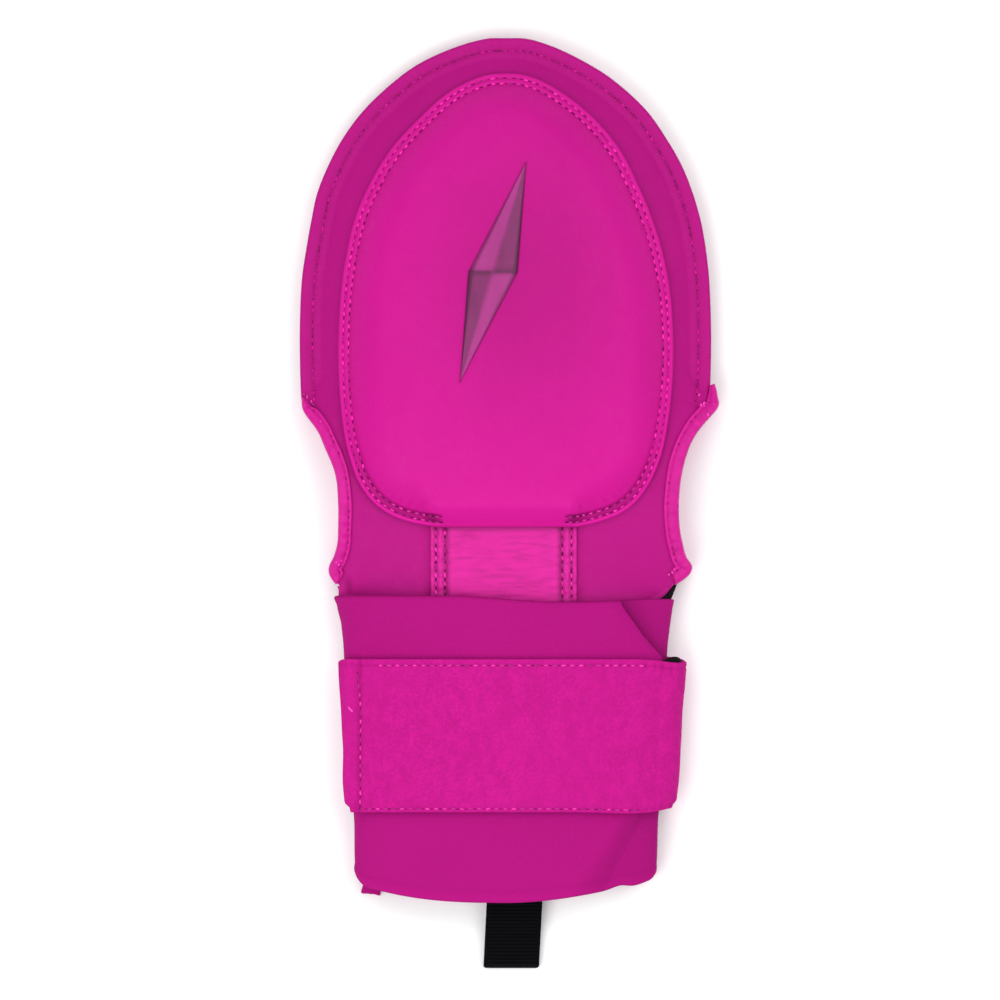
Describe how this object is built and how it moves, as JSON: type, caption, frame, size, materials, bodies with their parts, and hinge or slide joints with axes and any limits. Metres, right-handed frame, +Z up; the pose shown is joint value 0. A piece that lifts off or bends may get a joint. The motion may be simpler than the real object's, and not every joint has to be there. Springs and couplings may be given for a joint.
{
  "type": "sliding mitt",
  "caption": "Padded hand guard mitt for base sliding with an oval back plate, thumb cutouts in both sides, a wrist cuff, a wide wrist strap and a webbing pull tab.",
  "frame": {"origin": "middle of the underside of the bounding box, on the floor that the palm rests on", "axes": "+Y from the wrist to the fingertips, +Z up out of the padded guard, +X to the right seen from above"},
  "size_m": [0.1438, 0.3208, 0.0337],
  "materials": {
    "leather": "soft satin magenta leather",
    "guard_leather": "satin bright magenta leather, softly padded",
    "tongue_leather": "fine wrinkled magenta leather",
    "binding_tape": "folded magenta edge tape",
    "neoprene": "matte magenta knit over foam rubber",
    "loop_fabric": "brushed magenta loop fabric",
    "black_fabric": "matte black brushed knit",
    "black_webbing": "ribbed black webbing",
    "badge_print": "raised plum print, slightly glossy"
  },
  "bodies": {
    "root": {"hand_panel": "leather", "palm_panel": "leather", "hand_guard": "guard_leather", "guard_badge": "badge_print", "tongue": "tongue_leather", "hand_binding_left": "binding_tape", "hand_binding_right": "binding_tape", "palm_binding_left": "binding_tape", "palm_binding_right": "binding_tape", "cuff_sleeve": "neoprene", "cuff_flap": "neoprene", "cuff_lining": "black_fabric", "wrist_strap": "loop_fabric", "strap_backing": "black_fabric", "pull_tab": "black_webbing", "seam_tail": "neoprene"}
  },
  "joints": []
}
